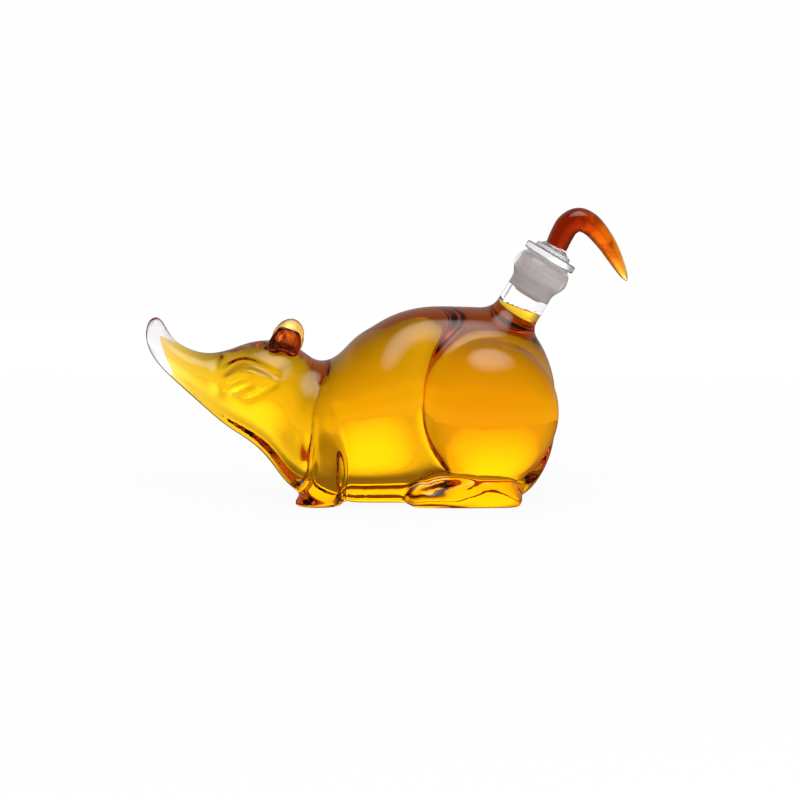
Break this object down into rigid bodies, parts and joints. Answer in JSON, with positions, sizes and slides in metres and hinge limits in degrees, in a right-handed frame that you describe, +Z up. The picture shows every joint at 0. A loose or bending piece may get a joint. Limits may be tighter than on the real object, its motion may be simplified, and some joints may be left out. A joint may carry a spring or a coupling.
{
  "type": "figural liquor decanter",
  "caption": "Animal-shaped blown glass decanter holding amber liquor, with a leaning neck and a ribbed-seal glass stopper whose handle is a curved tail.",
  "frame": {"origin": "on the floor, under the middle of the whole length from the snout's tip to the tail's end", "axes": "+X from the snout towards the tail, +Y towards the animal's right side, +Z up"},
  "size_m": [0.2547, 0.087, 0.1546],
  "materials": {
    "clear_glass": "gloss",
    "neck_glass": "gloss",
    "ear_glass": "gloss",
    "tail_glass": "gloss",
    "liquor": "gloss",
    "silicone": "satin"
  },
  "bodies": {
    "root": {"glass_body": "clear_glass", "neck_tube": "neck_glass", "ear_left": "ear_glass", "ear_right": "ear_glass", "liquor": "liquor"},
    "seal": {"seal_sleeve": "silicone"},
    "stopper": {"stopper_cap": "neck_glass", "tail": "tail_glass"}
  },
  "joints": [
    {"name": "stopper_lift", "type": "slide", "parent": "root", "child": "seal", "axis": [0.515, 0, 0.8572], "range_m": [0, 0.05]},
    {"name": "tail_turn", "type": "hinge", "parent": "seal", "child": "stopper", "pos_m": [0.089, 0, 0.1338], "axis": [0.515, 0, 0.8572], "continuous": true}
  ]
}
